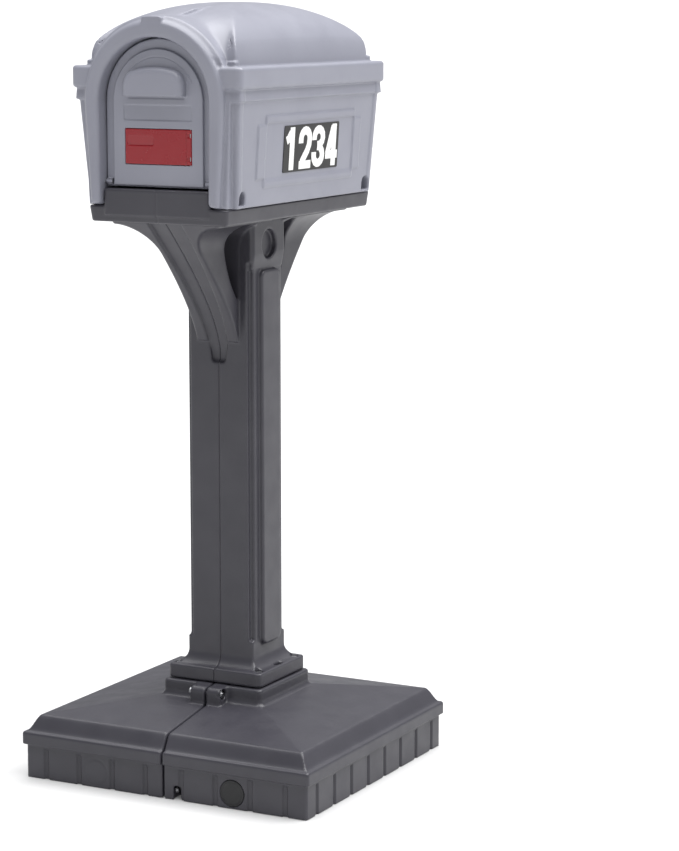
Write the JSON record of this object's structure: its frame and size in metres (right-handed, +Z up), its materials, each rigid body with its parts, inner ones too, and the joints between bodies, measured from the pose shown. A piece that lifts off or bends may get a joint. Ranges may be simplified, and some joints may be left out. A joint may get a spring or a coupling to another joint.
{
  "type": "post mounted mailbox",
  "caption": "Kerbside mailbox with an arched drop-down door and signal flag, carried on a bracketed post that is clamped in a weighted base of two halves.",
  "frame": {"origin": "on the ground at the centre of the base", "axes": "+Z up along the post, the door faces -Y, +X to the right of someone facing the door"},
  "size_m": [0.592, 0.562, 1.397],
  "materials": {
    "housing_plastic": "satin light grey moulded polyethylene",
    "door_plastic": "satin grey moulded polyethylene",
    "charcoal_plastic": "satin charcoal moulded polyethylene",
    "red_plastic": "gloss red moulded plastic",
    "black_plastic": "matt black moulded plastic",
    "seal_rubber": "soft black rubber",
    "zinc_steel": "zinc plated steel",
    "magnet_ferrite": "sintered ferrite",
    "label_vinyl": "black vinyl film",
    "digit_vinyl": "white vinyl film"
  },
  "bodies": {
    "stand": {"base_left": "charcoal_plastic", "base_right": "charcoal_plastic", "upper_clamp_bolts": "zinc_steel", "upper_clamp_nuts": "zinc_steel", "lower_clamp_bolts": "zinc_steel", "lower_clamp_nuts": "zinc_steel", "post_left": "charcoal_plastic", "post_right": "charcoal_plastic", "post_tie_bolt": "zinc_steel", "post_tie_nut": "zinc_steel", "post_foot_screws": "zinc_steel", "platform": "charcoal_plastic", "platform_screws": "zinc_steel", "housing_shell": "housing_plastic", "housing_screws": "zinc_steel", "rear_panel": "housing_plastic", "rear_panel_screws": "zinc_steel", "door_hinge_pins": "zinc_steel", "door_magnet": "magnet_ferrite", "number_label": "label_vinyl", "number_digits": "digit_vinyl"},
    "door": {"door": "door_plastic", "door_strike": "zinc_steel", "flag_hinge_pin": "zinc_steel"},
    "flag": {"flag": "red_plastic"},
    "filler_left": {"fill_plug_left": "black_plastic", "fill_seal_left": "seal_rubber"},
    "filler_right": {"fill_plug_right": "black_plastic", "fill_seal_right": "seal_rubber"}
  },
  "joints": [
    {"name": "door_hinge", "type": "hinge", "parent": "stand", "child": "door", "pos_m": [0, -0.2563, 1.092], "axis": [1, 0, 0], "range_deg": [0, 90]},
    {"name": "flag_hinge", "type": "hinge", "parent": "door", "child": "flag", "pos_m": [0.064, -0.2587, 1.153], "axis": [0, 0, 1], "range_deg": [0, 90]},
    {"name": "filler_left_pull", "type": "slide", "parent": "stand", "child": "filler_left", "axis": [0, 1, 0], "range_m": [0, 0.035]},
    {"name": "filler_right_pull", "type": "slide", "parent": "stand", "child": "filler_right", "axis": [0, -1, 0], "range_m": [0, 0.035]}
  ]
}
